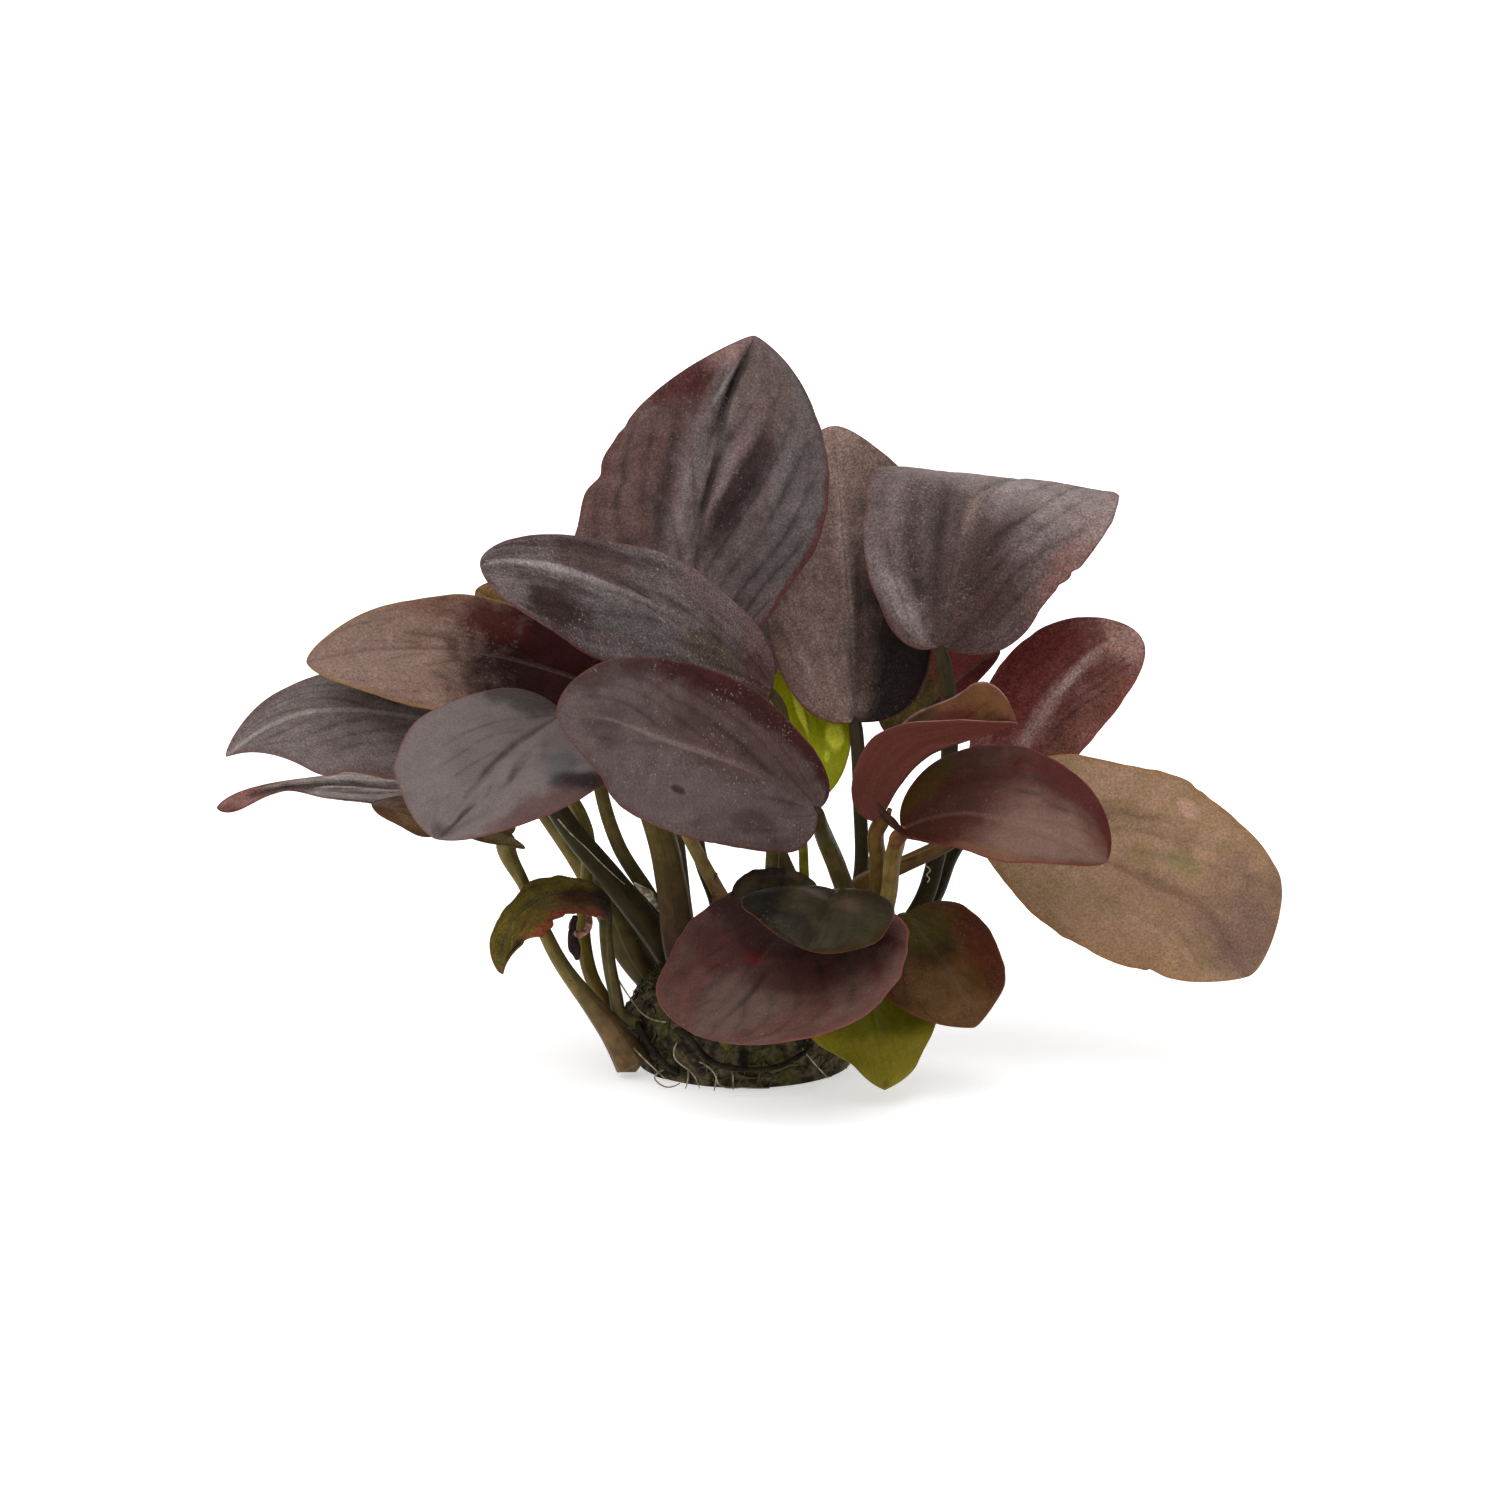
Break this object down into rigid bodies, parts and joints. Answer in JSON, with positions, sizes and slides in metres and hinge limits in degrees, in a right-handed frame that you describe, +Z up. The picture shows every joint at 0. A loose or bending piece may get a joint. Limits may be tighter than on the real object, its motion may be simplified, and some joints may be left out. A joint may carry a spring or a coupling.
{
  "type": "lagenandra meeboldii plant",
  "caption": "Red-leaved aquarium plant: broad, dark, velvety leaves on olive stalks, rising from a creeping stem on a mossy plug of growing medium that is cut flat below.",
  "frame": {"origin": "centre of the flat face under the plug of growing medium, which the plant rests on", "axes": "+Z up; +X to the right and +Y to the back as the plant is looked at from its front"},
  "size_m": [0.1938, 0.1202, 0.1293],
  "materials": {
    "leaf_dark": "satin",
    "leaf_green": "satin",
    "stalk": "satin",
    "creeping_stem": "matte",
    "root": "matte",
    "dry_sheath": "matte",
    "growing_medium": "matte"
  },
  "bodies": {
    "root": {"plug": "growing_medium", "creeping_stem": "creeping_stem", "dry_sheath": "dry_sheath", "root_thick": "root", "root_arch": "root", "root_long": "root", "leaf_tall": "leaf_dark", "stalk_tall": "stalk", "leaf_centre": "leaf_dark", "stalk_centre": "stalk", "leaf_arched": "leaf_dark", "stalk_arched": "stalk", "leaf_long": "leaf_dark", "stalk_long": "stalk", "leaf_broad": "leaf_dark", "stalk_broad": "stalk", "leaf_drooping": "leaf_dark", "stalk_drooping": "stalk", "leaf_bronze": "leaf_dark", "stalk_bronze": "stalk", "leaf_grey": "leaf_dark", "stalk_grey": "stalk", "leaf_twisted": "leaf_dark", "stalk_twisted": "stalk", "leaf_level": "leaf_green", "stalk_level": "stalk", "leaf_chewed": "leaf_green", "stalk_chewed": "stalk", "leaf_low": "leaf_dark", "stalk_low": "stalk", "leaf_saddle": "leaf_dark", "stalk_saddle": "stalk", "leaf_round": "leaf_green", "stalk_round": "stalk", "leaf_lime": "leaf_green", "stalk_lime": "stalk", "leaf_olive": "leaf_dark", "stalk_olive": "stalk", "leaf_wine": "leaf_dark", "stalk_wine": "stalk", "leaf_rolled": "leaf_dark", "stalk_rolled": "stalk", "leaf_ruby": "leaf_dark", "stalk_ruby": "stalk", "leaf_speckled": "leaf_green", "stalk_speckled": "stalk", "leaf_bright": "leaf_green", "stalk_bright": "stalk", "leaf_tucked": "leaf_dark", "stalk_tucked": "stalk", "leaf_rear_left": "leaf_dark", "stalk_rear_left": "stalk", "leaf_rear_middle": "leaf_dark", "stalk_rear_middle": "stalk", "leaf_rear_right": "leaf_dark", "stalk_rear_right": "stalk"}
  },
  "joints": []
}
